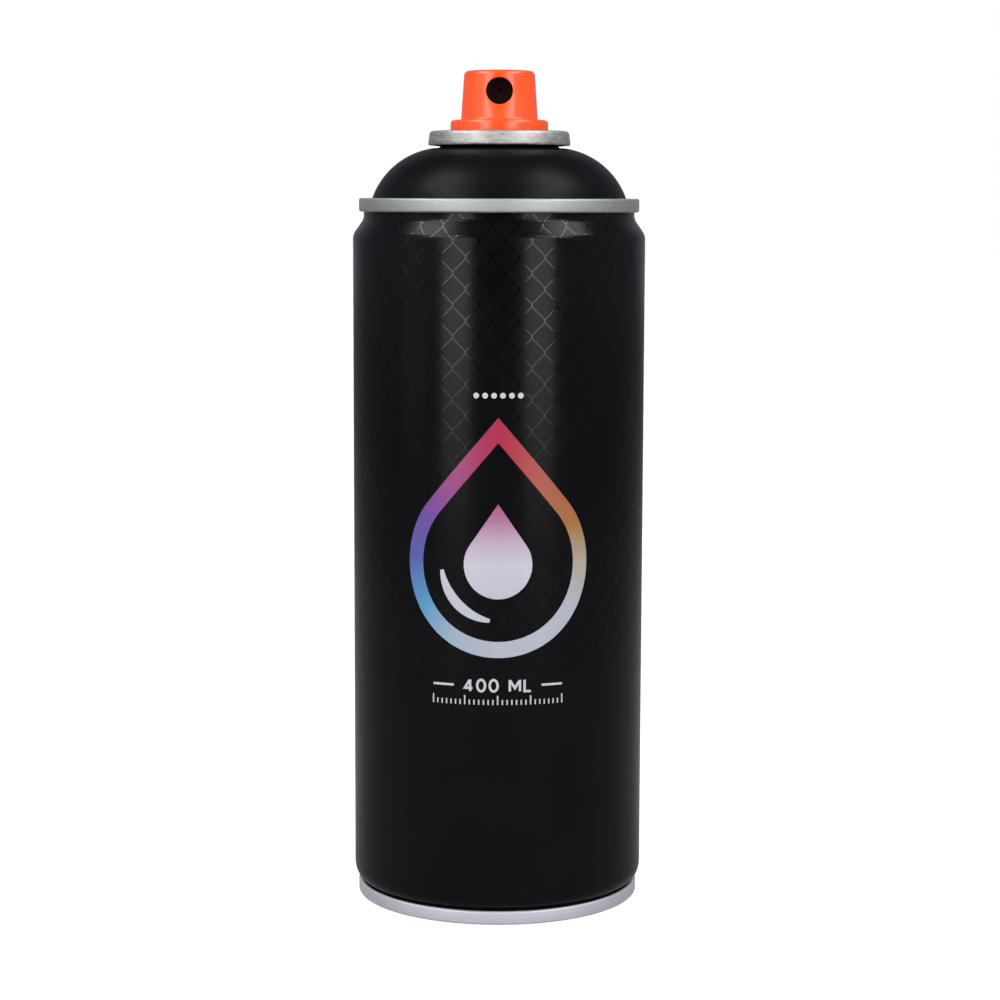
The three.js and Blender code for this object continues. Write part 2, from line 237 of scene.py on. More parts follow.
def cover_seam(seam_radius):
    """The end's share of a seam: from the tip of its hook, round the outside, to the chuck wall."""
    layer = seam_layers(seam_radius)
    outer = END_SHEET / 2
    bend = (layer["cover_wall"] - layer["cover_hook"]) / 2
    bend_depth = SEAM_HEIGHT - outer - bend
    corner_depth = outer + SEAM_CORNER
    return (
        [(layer["cover_hook"], HOOK_TIP_DEPTH)]
        + circular((layer["cover_hook"] + bend, bend_depth), bend, 180, 0, 10)
        + circular((layer["cover_wall"] - SEAM_CORNER, corner_depth), SEAM_CORNER, 0, -90, 6)
        + circular((layer["chuck_wall"] + SEAM_CORNER, corner_depth), SEAM_CORNER, -90, -180, 6)
    )


def body_seam(seam_radius):
    """The body's share of a seam: from its wall, over the bend, to the tip of its hook."""
    layer = seam_layers(seam_radius)
    bend = (layer["body_hook"] - layer["body_wall"]) / 2
    middle = (layer["body_wall"] + bend, BODY_HOOK_BEND_DEPTH)
    return circular(middle, bend, -180, 0, 6) + [(layer["body_hook"], BODY_HOOK_TIP_DEPTH)]


WALL = PAINT_RADIUS - BODY_SHEET / 2
FOOT_NECK_TOP = 3.3
FOOT_CORNER = (30.4, 7.0)  # centre of the wall's rounded foot
FOOT_CORNER_HEIGHT = 3.49
SHOULDER = (WALL - 2.89, 148.2)  # centre of the shoulder's arc
SHOULDER_LEAN = 33.5  # how far the shoulder's arc turns, in degrees
NECK_BEND = 2.51
NECK_BEND_HEIGHT = 153.39
NECK_TOP = 154.5  # above it, the body is hidden in its seam


def can_wall_path():
    """Middle of the body's sheet, from the hook of the foot seam to the hook of the top seam."""
    foot = seam_layers(FOOT_SEAM_RADIUS)["body_wall"]
    head = seam_layers(TOP_SEAM_RADIUS)["body_wall"]
    foot_corner_radii = (WALL - FOOT_CORNER[0], FOOT_CORNER_HEIGHT)
    neck_bend_centre = (head + NECK_BEND, NECK_BEND_HEIGHT)
    return (
        body_seam(FOOT_SEAM_RADIUS)[::-1]
        + [(foot, FOOT_NECK_TOP)]
        + arc(FOOT_CORNER, foot_corner_radii, -70, 0, 10)
        + circular(SHOULDER, WALL - SHOULDER[0], 0, SHOULDER_LEAN, 8)
        + circular(neck_bend_centre, NECK_BEND, 180 + SHOULDER_LEAN, 180, 8)
        + from_top(body_seam(TOP_SEAM_RADIUS))
    )


GROOVE_HEIGHT = 154.9
DOME_CENTRE = (12.33, 151.44)
DOME_RADIUS = 16.8
DOME_START = 11.9  # the dome's arc, in degrees above the level
DOME_END = 81.2
MOUTH_BEND_CENTRE = (13.75, 169.0)
MOUTH_BEND = 0.9
BEAD_CENTRE = (13.95, 170.0)
BEAD_RADII = (1.1, 1.15)
BASE_BEND = 0.8
BASE_BEND_HEIGHT = 3.2
BASE_RISE = 11.45  # height of the pressed-in dome's middle
BASE_RADIUS = 62.3
BASE_RIM = 28.5  # half of the angle that the pressed-in dome spans, in degrees


def dome_groove():
    """The countersink between the top end's chuck wall and the foot of its dome."""
    chuck_wall = seam_layers(TOP_SEAM_RADIUS)["chuck_wall"]
    dome_foot = DOME_CENTRE[0] + DOME_RADIUS * math.cos(math.radians(DOME_START))
    radius = (chuck_wall - dome_foot) / 2
    return circular((dome_foot + radius, GROOVE_HEIGHT), radius, 0, -180, 10)


def top_seam_path():
    """The bare rim of the top end, down to the middle of the countersink."""
    return from_top(cover_seam(TOP_SEAM_RADIUS)) + dome_groove()[:6]


def dome_path():
    """The painted part of the top end: groove, dome and the bead curled round the mouth."""
    return (
        dome_groove()[5:-1]
        + circular(DOME_CENTRE, DOME_RADIUS, DOME_START, DOME_END, 40)
        + circular(MOUTH_BEND_CENTRE, MOUTH_BEND, 270, 180, 6)
        + arc(BEAD_CENTRE, BEAD_RADII, 180, -95, 20)
    )


def base_path():
    """The base end, from the hook of its seam to the axis."""
    chuck_wall = seam_layers(FOOT_SEAM_RADIUS)["chuck_wall"]
    bend_centre = (chuck_wall - BASE_BEND, BASE_BEND_HEIGHT)
    centre = (0, BASE_RISE - BASE_RADIUS)
    return (
        cover_seam(FOOT_SEAM_RADIUS)
        + circular(bend_centre, BASE_BEND, 0, 90 - BASE_RIM, 6)
        + circular(centre, BASE_RADIUS, 90 - BASE_RIM + 1, 90, 30)[:-1]
        + [(0, BASE_RISE)]
    )


def cup_path():
    """The mounting cup, drawn with its heights from its own top."""
    wall = CUP_RADIUS - CUP_SHEET / 2
    skirt = [(wall - 0.12, -3.06), (wall - 0.02, -2.9), (wall, -2.7)]
    rim = circular((wall - 0.91, -0.8), 0.66, 4, 90, 8) + circular((13.0, -0.7), 0.56, 90, 180, 8)
    clinch = [(12.44, -3.3), (12.6, -3.75), (13.0, -4.2), (13.12, -4.65), (13.0, -5.2), (12.6, -6.0)]
    floor = circular((12.0, -6.1), 0.4, 0, -90, 4) + circular((6.3, -5.95), 0.55, -90, -160, 5)
    crimp = [(5.3, -5.2), (5.36, -4.8), (5.44, -4.5)]
    pedestal_top = circular((4.94, -2.04), 0.5, 0, 90, 8) + [(2.4, -1.54)]
    path = skirt + rim + clinch + floor + crimp + pedestal_top
    return [(r, CUP_TOP + z) for r, z in path]


def sheet_metal():
    """The five sheet-metal pieces, each standing for its CAD node."""
    body = sheet("can_wall", can_wall_path(), BODY_SHEET)
    seam = sheet("top_seam_ring", top_seam_path(), END_SHEET)
    dome = sheet("dome_shell", dome_path(), END_SHEET)
    base = sheet("base_shell", base_path(), END_SHEET)
    cup = sheet("valve_cup", cup_path(), CUP_SHEET)
    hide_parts("can_body")
    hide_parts("top_dome")
    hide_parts("top_dome")
    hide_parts("base_dome")
    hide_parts("mounting_cup")
    for piece in (body, seam, dome, base, cup):
        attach(piece, "can")
    return body, seam, dome, base, cup


# ---------------------------------------------------------------- printing on the body


def paint_radius(height):
    """Outside radius of the painted body at a height, in mm."""
    shoulder_end = SHOULDER[1] + (PAINT_RADIUS - SHOULDER[0]) * math.sin(math.radians(SHOULDER_LEAN))
    if height <= SHOULDER[1]:
        return PAINT_RADIUS
    if height <= shoulder_end:
        reach = PAINT_RADIUS - SHOULDER[0]
        return SHOULDER[0] + math.sqrt(reach**2 - (height - SHOULDER[1]) ** 2)
    outer = offset_path(can_wall_path(), BODY_SHEET / 2)
    other = offset_path(can_wall_path(), -BODY_SHEET / 2)
    side = outer if max(r for r, _ in outer) > max(r for r, _ in other) else other
    above = [p for p in side if shoulder_end - 1 < p[1] < NECK_TOP]
    for (r0, z0), (r1, z1) in zip(above, above[1:]):
        if min(z0, z1) <= height <= max(z0, z1) and z0 != z1:
            return r0 + (r1 - r0) * (height - z0) / (z1 - z0)
    return above[-1][0]


def on_can(across, height, proud):
    """A place on the body: arc length from the front middle, height, and distance above the paint."""
    angle = across / PAINT_RADIUS
    radius = (paint_radius(height) + proud) * MM
    return Vector((radius * math.sin(angle), -radius * math.cos(angle), height * MM))


PRINT_ROOT = -0.02  # the underside of the printing, just inside the paint


def band(bm, rows, proud, closed=False):
    """Adds a flat printed band, wrapped onto the body. Each row is (across, height) places across it."""
    top = [[bm.verts.new(on_can(x, z, proud)) for x, z in row] for row in rows]
    low = [[bm.verts.new(on_can(x, z, PRINT_ROOT)) for x, z in (row[0], row[-1])] for row in rows]
    count = len(rows)
    for i in range(count if closed else count - 1):
        j = (i + 1) % count
        for lane in range(len(rows[0]) - 1):
            bm.faces.new((top[i][lane], top[j][lane], top[j][lane + 1], top[i][lane + 1]))
        bm.faces.new((low[i][0], low[j][0], top[j][0], top[i][0]))
        bm.faces.new((top[i][-1], top[j][-1], low[j][1], low[i][1]))
        bm.faces.new((low[j][0], low[i][0], low[i][1], low[j][1]))
    if not closed:
        bm.faces.new([low[0][0]] + top[0] + [low[0][1]])
        bm.faces.new([low[-1][1]] + top[-1][::-1] + [low[-1][0]])


def across_band(first, last, lanes):
    """One row of a band, from a place on its first edge to a place on its last."""
    return [tuple(Vector(first).lerp(Vector(last), lane / lanes)) for lane in range(lanes + 1)]


def ribbon(bm, points, widths, lanes, proud, closed=False):
    """Adds one flat printed stroke along points in (across, height), with mitred corners."""
    count = len(points)
    rows = []
    for i, point in enumerate(points):
        before = points[i - 1] if closed or i > 0 else point
        after = points[(i + 1) % count] if closed or i < count - 1 else point
        here = Vector(point)
        arriving = (here - Vector(before)).normalized() if point != before else None
        leaving = (Vector(after) - here).normalized() if point != after else None
        arriving = arriving or leaving
        leaving = leaving or arriving
        along = (arriving + leaving).normalized()
        mitre = 1 / max(along.dot(leaving), 0.5)  # a corner reaches out to twice the width at most
        reach = Vector((-along.y, along.x)) * mitre * widths[i] / 2
        rows.append(across_band(here - reach, here + reach, lanes))
    band(bm, rows, proud, closed)


MESH_COLUMNS = 72
MESH_COLUMN = 2 * math.pi * PAINT_RADIUS / MESH_COLUMNS  # arc between neighbouring columns
MESH_START = -3.5  # where the first column is, in columns from the front's middle
MESH_PERIOD = 6.7
MESH_TOP = 154.0
MESH_KNOT = 141.5  # height of a knot on the first column
MESH_FOOT = 51.0
MESH_FADE = 72.0  # below this height the wires thin out
WIRE_WIDTH = 0.2
WIRE_FADED = 0.12  # share of a wire's width that is left at its foot
KNOT_LENGTH = 0.45
KNOT_OVERLAP = 0.06


def wire_mesh():
    """The chain-link pattern in gloss varnish: upright wires that zigzag and hook their neighbours."""
    bm = bmesh.new()
    half_period = MESH_PERIOD / 2
    for column in range(MESH_COLUMNS):
        left = (column + MESH_START) * MESH_COLUMN
        right = left + MESH_COLUMN
        phase = MESH_KNOT + (column % 2) * half_period
        corners = []
        first = math.floor((MESH_FOOT - phase) / half_period)
        last = math.ceil((MESH_TOP - phase) / half_period)
        for step in range(first, last + 1):
            height = phase + step * half_period
            across = left - KNOT_OVERLAP if step % 2 == 0 else right + KNOT_OVERLAP
            corners.append((across, height - KNOT_LENGTH / 2))
            corners.append((across, height + KNOT_LENGTH / 2))
        points = []
        for (x0, z0), (x1, z1) in zip(corners, corners[1:]):
            pieces = 4 if z1 < SHOULDER[1] - MESH_PERIOD else 16  # more of them round the shoulder
            points += [(x0 + (x1 - x0) * k / pieces, z0 + (z1 - z0) * k / pieces) for k in range(pieces)]
        points = [p for p in points if MESH_FOOT < p[1] < MESH_TOP]
        fade = [min(1, max(WIRE_FADED, (z - MESH_FOOT) / (MESH_FADE - MESH_FOOT))) for _, z in points]
        ribbon(bm, points, [WIRE_WIDTH * f for f in fade], 1, VARNISH_PROUD)
    return from_bmesh("wire_mesh_varnish", bm, PRINT_CREASE)


def filled(bm, outline, rings, proud):
    """Adds a solid printed shape inside an outline of (across, height), wrapped onto the body."""
    centre = sum((Vector(p) for p in outline), Vector((0, 0))) / len(outline)
    loops = []
    for k in range(rings, 0, -1):
        loop = [centre + (Vector(p) - centre) * k / rings for p in outline]
        loops.append([bm.verts.new(on_can(p.x, p.y, proud)) for p in loop])
    root = [bm.verts.new(on_can(p[0], p[1], PRINT_ROOT)) for p in outline]
    top = bm.verts.new(on_can(centre.x, centre.y, proud))
    bottom = bm.verts.new(on_can(centre.x, centre.y, PRINT_ROOT))
    count = len(outline)
    for i in range(count):
        j = (i + 1) % count
        for outer, inner in zip([root] + loops, loops):
            bm.faces.new((outer[i], outer[j], inner[j], inner[i]))
        bm.faces.new((loops[-1][i], loops[-1][j], top))
        bm.faces.new((root[j], root[i], bottom))


EMBLEM_MIDDLE = 79.6  # the height that the drop's round part turns about
EMBLEM_RADIUS = 18.6
EMBLEM_STROKE = 3.5
EMBLEM_POINT = 49.6  # from upright to where a straight side meets the round part, in degrees
CORE_MIDDLE = EMBLEM_MIDDLE - 0.2
CORE_RADIUS = 7.4
CORE_POINT = 55.6
CORE_FOOT = CORE_MIDDLE - CORE_RADIUS
CORE_TIP = CORE_MIDDLE + CORE_RADIUS / math.cos(math.radians(CORE_POINT))
HIGHLIGHT_RADIUS = 12.4
HIGHLIGHT_WIDTH = 2.2
HIGHLIGHT_START = 187
HIGHLIGHT_END = 262


def drop_outline(middle, radius, point_angle):
    """A paint drop with its point up: two straight sides and an arc."""
    tip = middle + radius / math.cos(math.radians(point_angle))
    round_part = circular((0, middle), radius, 90 - point_angle, point_angle - 270, 120)
    side_steps = 16
    shares = [i / side_steps for i in range(side_steps)]
    right = [(round_part[0][0] * k, tip + (round_part[0][1] - tip) * k) for k in shares]
    left = [(-x, z) for x, z in right[:0:-1]]
    return right + round_part + left


def emblem():
    """A plain paint drop in outline."""
    bm = bmesh.new()
    outside = drop_outline(EMBLEM_MIDDLE, EMBLEM_RADIUS + EMBLEM_STROKE / 2, EMBLEM_POINT)
    inside = drop_outline(EMBLEM_MIDDLE, EMBLEM_RADIUS - EMBLEM_STROKE / 2, EMBLEM_POINT)
    rows = [across_band(outer, inner, 6) for outer, inner in zip(outside, inside)]
    band(bm, rows, PRINT_PROUD, closed=True)
    return from_bmesh("emblem_drop", bm, PRINT_CREASE)


def emblem_core():
    """A small solid drop inside the outline, and a curved highlight beside it."""
    bm = bmesh.new()
    filled(bm, drop_outline(CORE_MIDDLE, CORE_RADIUS, CORE_POINT), 8, PRINT_PROUD)
    steps = 30
    highlight = circular((0, EMBLEM_MIDDLE), HIGHLIGHT_RADIUS, HIGHLIGHT_START, HIGHLIGHT_END, steps)
    blunt = 0.12  # share of a half sine wave that is left off at each end
    shares = [blunt + (1 - 2 * blunt) * i / steps for i in range(steps + 1)]
    widths = [HIGHLIGHT_WIDTH * math.sin(math.pi * share) for share in shares]
    ribbon(bm, highlight, widths, 4, PRINT_PROUD)
    return from_bmesh("emblem_core", bm, PRINT_CREASE)


DOTS = 6
DOT_HEIGHT = 115.7
DOT_PITCH = 1.9
DOT_RADIUS = 0.62
SCALE_WIDTH = 28.6
SCALE_FOOT = 49.0
SCALE_MARKS = 29
MARKS_PER_LONG_ONE = 7
LONG_MARK = 2.0
SHORT_MARK = 1.1
MARK_WIDTH = 0.3
RULE_HEIGHT = 53.2
RULE_WIDTH = 0.5
RULE_INNER = 9.6  # the two rules' ends, from the middle of the front
RULE_OUTER = 14.3


def small_print():
    """The generic small print: a row of dots, two short rules and a ruled scale."""
    bm = bmesh.new()
    for i in range(DOTS):
        centre = ((i - (DOTS - 1) / 2) * DOT_PITCH, DOT_HEIGHT)
        filled(bm, circular(centre, DOT_RADIUS, 0, 360, 24)[:-1], 2, PRINT_PROUD)
    for i in range(SCALE_MARKS):
        across = SCALE_WIDTH * (i / (SCALE_MARKS - 1) - 0.5)
        length = LONG_MARK if i % MARKS_PER_LONG_ONE == 0 else SHORT_MARK
        mark = [(across, SCALE_FOOT), (across, SCALE_FOOT + length)]
        ribbon(bm, mark, [MARK_WIDTH] * 2, 1, PRINT_PROUD)
    pieces = 6
    for side in (-1, 1):
        reaches = [RULE_INNER + (RULE_OUTER - RULE_INNER) * k / pieces for k in range(pieces + 1)]
        rule = [(side * reach, RULE_HEIGHT) for reach in reaches]
        ribbon(bm, rule, [RULE_WIDTH] * len(rule), 1, PRINT_PROUD)
    return from_bmesh("small_print", bm, PRINT_CREASE)


ZERO = arc((0.34, 0.5), (0.34, 0.5), 0, 360, 28)[:-1]
GLYPHS = {  # each character's width, and its strokes, for capitals of height 1
    "4": (0.72, [[(0.5, 0), (0.5, 1)], [(0.46, 0.97), (0.04, 0.27), (0.7, 0.27)]]),
    "0": (0.68, [ZERO]),
    " ": (0.25, []),
    "M": (0.88, [[(0, 0), (0, 1)], [(0.05, 0.92), (0.44, 0.28), (0.83, 0.92)], [(0.88, 0), (0.88, 1)]]),
    "L": (0.56, [[(0, 1), (0, 0), (0.56, 0)]]),
}
CONTENTS = "400 ML"
CAPITAL_HEIGHT = 2.5
BASELINE = 51.95
STROKE_WIDTH = 0.52
LETTER_GAP = 1.0
LAYER_STEP = 0.002  # keeps crossing strokes of one character apart


def contents_text():
    """The contents in plain sans capitals, drawn in single strokes."""
    bm = bmesh.new()
    advances = [GLYPHS[letter][0] * CAPITAL_HEIGHT + LETTER_GAP for letter in CONTENTS]
    pen = -(sum(advances) - LETTER_GAP) / 2
    for letter, advance in zip(CONTENTS, advances):
        for layer, points in enumerate(GLYPHS[letter][1]):
            places = [(pen + x * CAPITAL_HEIGHT, BASELINE + z * CAPITAL_HEIGHT) for x, z in points]
            proud = PRINT_PROUD - LAYER_STEP * layer
            ribbon(bm, places, [STROKE_WIDTH] * len(places), 1, proud, closed=points is ZERO)
        pen += advance
    return from_bmesh("contents_text", bm, PRINT_CREASE)


LAP_FOOT = 4.0
LAP_HEAD = 153.9
LAP_BENDS = SHOULDER[1] - 1  # above this height the lap follows the shoulder, in finer steps
LAP_BANDS = (  # name, width and height above the paint
    ("side_seam_strip", 3.4, 0.022),
    ("side_seam_weld", 1.1, 0.038),
)


def side_seam():
    """The welded lap down the back, where the print stops short and bare metal shows."""
    back = math.pi * PAINT_RADIUS
    straight_steps = 140
    shoulder_steps = 40
    heights = [LAP_FOOT + (LAP_BENDS - LAP_FOOT) * i / straight_steps for i in range(straight_steps)]
    heights += [LAP_BENDS + (LAP_HEAD - LAP_BENDS) * i / shoulder_steps for i in range(shoulder_steps + 1)]
    points = [(back, z) for z in heights]
    bands = []
    for name, width, proud in LAP_BANDS:
        bm = bmesh.new()
        ribbon(bm, points, [width] * len(points), 8, proud)
        bands.append(from_bmesh(name, bm, PRINT_CREASE))
    return bands


# ---------------------------------------------------------------- the actuator

FLANGE_RADIUS = 10.85
NOZZLE_HEIGHT = 9.2
NOZZLE_BORE = 2.95
NOZZLE_BACK = 3.6  # the bottom of the nozzle's socket, from the Z axis
CHANNEL_RADIUS = 0.8  # of the way up the stem and on to the nozzle
STEM_RADIUS = 1.9
STEM_END = CUP_TOP - 4.5 - CAP_BASE


def button_outline():
    """The whole button as one closed outline, with its heights from the flange's underside."""
    top = CAP_HEIGHT
    dish = 0.75
    stem_tip = [(0, STEM_END), (STEM_RADIUS - 0.25, STEM_END), (STEM_RADIUS, STEM_END + 0.4)]
    stem = stem_tip + [(STEM_RADIUS, 1.5)]
    underside = [(2.7, 1.5), (2.7, 5.0), (6.7, 5.0), (7.0, 1.9), (FLANGE_RADIUS - 1.1, 1.7)]
    flange = (
        [(FLANGE_RADIUS - 1.0, 0.05), (FLANGE_RADIUS - 0.9, 0)]
        + circular((FLANGE_RADIUS - 0.25, 0.25), 0.25, -90, 0, 4)
        + circular((FLANGE_RADIUS - 0.7, 2.3), 0.7, 0, 90, 8)
    )
    sides = circular((8.95, 3.45), 0.45, 270, 180, 5) + circular((6.85, top - 1.0), 1.0, 2, 90, 10)
    rim = circular((6.35, top - 0.3), 0.3, 90, 145, 3)
    dished_top = arc((3.0, top), (3.1, dish), -12, -90, 12) + [(0, top - dish)]
    return stem + underside + flange + sides + rim + dished_top


def cut(piece, cutter):
    """Cuts one mesh out of another, and removes the cutter."""
    modifier = piece.modifiers.new("cut", "BOOLEAN")
    modifier.object = cutter
    modifier.solver = "EXACT"
    depsgraph = bpy.context.evaluated_depsgraph_get()
    mesh = bpy.data.meshes.new_from_object(piece.evaluated_get(depsgraph))
    piece.modifiers.clear()
    piece.data = mesh
    bpy.data.objects.remove(cutter)


def soften(piece, choose, width):
    """Rounds the sharp edges that choose picks by their two ends, in mm."""
    weld_distance = 0.002 * MM
    sharp = math.radians(40)
    bm = bmesh.new()
    bm.from_mesh(piece.data)
    bmesh.ops.remove_doubles(bm, verts=bm.verts, dist=weld_distance)
    edges = []
    for edge in bm.edges:
        if len(edge.link_faces) == 2 and edge.calc_face_angle() > sharp:
            if all(choose(vertex.co / MM) for vertex in edge.verts):
                edges.append(edge)
    bmesh.ops.bevel(bm, geom=edges, offset=width * MM, segments=3, profile=0.5, affect="EDGES")
    bm.to_mesh(piece.data)
    bm.free()


def along_nozzle(name, outline, sides, crease=CREASE):
    """A new object turned about the nozzle's axis. Its outline's heights run out along -Y."""
    bm = revolved(outline, sides)
    turn = Matrix.Rotation(math.radians(90), 4, "X")
    bm.transform(Matrix.Translation((0, 0, (CAP_BASE + NOZZLE_HEIGHT) * MM)) @ turn)
    return from_bmesh(name, bm, crease)


def cylinder_outline(radius, start, end):
    """The outline of a plain cylinder, from its start to its end."""
    return [(0, start), (radius, start), (radius, end), (0, end)]


def on_nozzle_mouth(place):
    """Whether a place, in mm, is on the front edge of the nozzle's socket."""
    tolerance = 0.01
    middle_of_socket = -6.5
    across = math.hypot(place.x, place.z - CAP_BASE - NOZZLE_HEIGHT)
    return abs(across - NOZZLE_BORE) < tolerance and place.y < middle_of_socket


def actuator_button():
    """The button, with the nozzle's socket and the paint's way cut out of it."""
    crease = 30
    mouth_rounding = 0.14
    channel_sides = 32
    socket_sides = 96
    socket = cylinder_outline(NOZZLE_BORE, NOZZLE_BACK, 14)  # out past the front of the button
    way_across = cylinder_outline(CHANNEL_RADIUS, -0.4, 5)  # from the stem into the socket
    way_up = cylinder_outline(CHANNEL_RADIUS, CAP_BASE + STEM_END - 1, CAP_BASE + NOZZLE_HEIGHT)
    outline = [(r, CAP_BASE + z) for r, z in button_outline()]
    button = lathe("actuator_cap", outline, SIDES, crease)
    cut(button, along_nozzle("cutter", socket, socket_sides))
    cut(button, along_nozzle("cutter", way_across, channel_sides))
    cut(button, lathe("cutter", way_up, channel_sides))
    soften(button, on_nozzle_mouth, mouth_rounding)
    shade(button.data, crease)
    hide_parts("actuator_button")
    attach(button, "actuator")
    return button


def nozzle_insert():
    """The plug in the front of the button: a fine orifice in a dished face, a rim and a hollow back."""
    outer = NOZZLE_BORE - GAP
    orifice = 0.3
    back = NOZZLE_BACK + 0.1
    face = [(orifice, 5.9), (0.42, 6.0), (0.9, 6.25)]
    rim = circular((1.9, 6.4), 0.35, 200, 90, 5) + circular((outer - 0.35, 6.65), 0.35, 60, 0, 4)
    hollow = [(outer, back), (1.6, back), (1.2, 5.6), (orifice, 5.6)]
    insert = along_nozzle("nozzle_plug", face + rim + hollow, SMALL_SIDES, crease=35)
    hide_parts("nozzle_insert")
    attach(insert, "actuator")
    return insert


SPRING_WIRE = 0.25  # radius of the wire
SPRING_RADIUS = 2.35
SPRING_TURNS = 6


def valve_spring():
    """The spring under the valve seat, which the actuator presses on; here it is a coil of fixed length.
    """
    low = node_bottom("valve_spring")
    length = node_top("valve_spring") - low
    closed_rise = 2 * SPRING_WIRE + GAP
    open_rise = (length - 2 * SPRING_WIRE - 2 * closed_rise) / (SPRING_TURNS - 2)
    points = []
    steps = 48 * SPRING_TURNS
    for i in range(steps + 1):
        turn = SPRING_TURNS * i / steps
        open_turns = min(max(turn - 1, 0), SPRING_TURNS - 2)
        height = low + SPRING_WIRE + (turn - open_turns) * closed_rise + open_turns * open_rise
        angle = 2 * math.pi * turn
        points.append(Vector((SPRING_RADIUS * math.cos(angle), SPRING_RADIUS * math.sin(angle), height)))
    spring = swept_tube("spring_coil", points, SPRING_WIRE, 16)
    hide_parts("valve_spring")
    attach(spring, "spring")
    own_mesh(spring)
    return spring


# ---------------------------------------------------------------- materials


class Nodes:
    """A node tree, with short ways to add to it. A value is a number, a colour or a node's output."""

    def __init__(self, tree):
        self.tree = tree

    def feed(self, socket, value):
        """Sets an input to a value."""
        if isinstance(value, bpy.types.NodeSocket):
            self.tree.links.new(value, socket)
        else:
            socket.default_value = value

    def add(self, kind, inputs=None, **settings):
        """A new node, with its settings made and its inputs fed."""
        made = self.tree.nodes.new(kind)
        for key, value in settings.items():
            setattr(made, key, value)
        for key, value in (inputs or {}).items():
            self.feed(made.inputs[key], value)
        return made

    def parts(self, vector):
        """The X, Y and Z of a vector, by name."""
        return self.add("ShaderNodeSeparateXYZ", {"Vector": vector}).outputs

    def spread(self, value, low, high, start=0.3, end=0.7):
        """A value remapped from start..end to low..high, and clamped."""
        inputs = {"Value": value, "From Min": start, "From Max": end, "To Min": low, "To Max": high}
        return self.add("ShaderNodeMapRange", inputs).outputs["Result"]

    def ramped(self, factor, stops):
        """A colour ramp through (position, colour) stops."""
        node = self.add("ShaderNodeValToRGB", {"Fac": factor})
        elements = node.color_ramp.elements
        while len(elements) < len(stops):
            elements.new(0.5)
        for element, (position, colour) in zip(elements, stops):
            element.position = position
            element.color = colour
        return node.outputs["Color"]

    def mixed(self, factor, first, second):
        """A colour between two others."""
        return self.add("ShaderNodeMix", {0: factor, 6: first, 7: second}, data_type="RGBA").outputs[2]

    def math(self, operation, first, second=0.0, third=0.0):
        """The result of a sum on numbers."""
        inputs = {0: first, 1: second, 2: third}
        return self.add("ShaderNodeMath", inputs, operation=operation).outputs["Value"]

    def vector_math(self, operation, *values):
        """The outputs of a sum on vectors, by name."""
        return self.add("ShaderNodeVectorMath", dict(enumerate(values)), operation=operation).outputs

    def noise(self, place, scale, detail):
        """Noise, in features per metre."""
        inputs = {"Vector": place, "Scale": scale, "Detail": detail}
        return self.add("ShaderNodeTexNoise", inputs).outputs["Fac"]


class Look(Nodes):
    """A node-based material with one Principled shader."""

    def __init__(self, name, roughness=0.5, metallic=0.0, specular=0.5):
        self.material = bpy.data.materials.new(name)
        self.material.use_nodes = True
        super().__init__(self.material.node_tree)
        self.shader = self.tree.nodes["Principled BSDF"]
        self.shader.inputs["Roughness"].default_value = roughness
        self.shader.inputs["Metallic"].default_value = metallic
        self.shader.inputs["Specular IOR Level"].default_value = specular
        self.place = self.add("ShaderNodeTexCoord").outputs["Object"]

    def clouds(self, scale, detail=3.0):
        """Noise on the piece, in features per metre."""
        return self.noise(self.place, scale, detail)

    def round_grain(self, scale, detail, stretch):
        """Noise drawn out round the Z axis, on upright walls and on flat rims alike."""
        split = self.parts(self.place)
        flat = self.add("ShaderNodeCombineXYZ", {"X": split["X"], "Y": split["Y"]}).outputs["Vector"]
        radius = self.vector_math("LENGTH", flat)["Value"]
        along = self.math("SUBTRACT", split["Z"], radius)
        place = self.add("ShaderNodeCombineXYZ", {"X": split["X"], "Y": split["Y"], "Z": along})
        mapping = self.add("ShaderNodeMapping", {"Vector": place.outputs["Vector"], "Scale": stretch})
        return self.noise(mapping.outputs["Vector"], scale, detail)

    def colour(self, value):
        """Sets the base colour."""
        self.feed(self.shader.inputs["Base Color"], value)

    def gloss(self, value):
        """Sets the roughness."""
        self.feed(self.shader.inputs["Roughness"], value)

    def bump(self, height, depth_mm):
        """Makes the surface bumpy, with a height of 0 to 1 over a depth."""
        node = self.add("ShaderNodeBump", {"Height": height, "Distance": depth_mm * MM, "Strength": 1.0})
        self.feed(self.shader.inputs["Normal"], node.outputs["Normal"])


def grey(level, tint=(1.0, 1.0, 1.0)):
    """A grey, or a grey that leans towards a tint."""
    return (level * tint[0], level * tint[1], level * tint[2], 1.0)


BLUE_BLACK = (0.96, 1.03, 1.3)  # the black paints lean a little towards blue


def satin_black():
    """The body's satin paint: a faint orange peel, handling marks, and a few specks of dust."""
    look = Look("satin_black_paint", specular=0.09)
    cloud = look.clouds(60, 4)
    peel = look.clouds(1400, 2)
    cells = look.add("ShaderNodeTexVoronoi", {"Vector": look.place, "Scale": 260}).outputs["Distance"]
    specks = look.spread(cells, 1, 0, 0.03, 0.05)
    dusty_areas = look.spread(look.clouds(70), 0, 1, 0.6, 0.66)
    dust = look.math("MULTIPLY", specks, dusty_areas)
    paint = look.mixed(look.spread(cloud, 0, 1), grey(0.002, BLUE_BLACK), grey(0.0029, BLUE_BLACK))
    look.colour(look.mixed(dust, paint, grey(0.05)))
    look.gloss(look.spread(cloud, 0.2, 0.245))
    look.bump(peel, 0.004)
    return look.material


def gloss_varnish():
    """The clear varnish of the wire mesh, glossier and a little darker than the paint."""
    look = Look("gloss_varnish", specular=0.25)
    look.colour(look.mixed(look.clouds(300), grey(0.0007), grey(0.001)))
    look.gloss(look.spread(look.clouds(200), 0.09, 0.13))
    return look.material


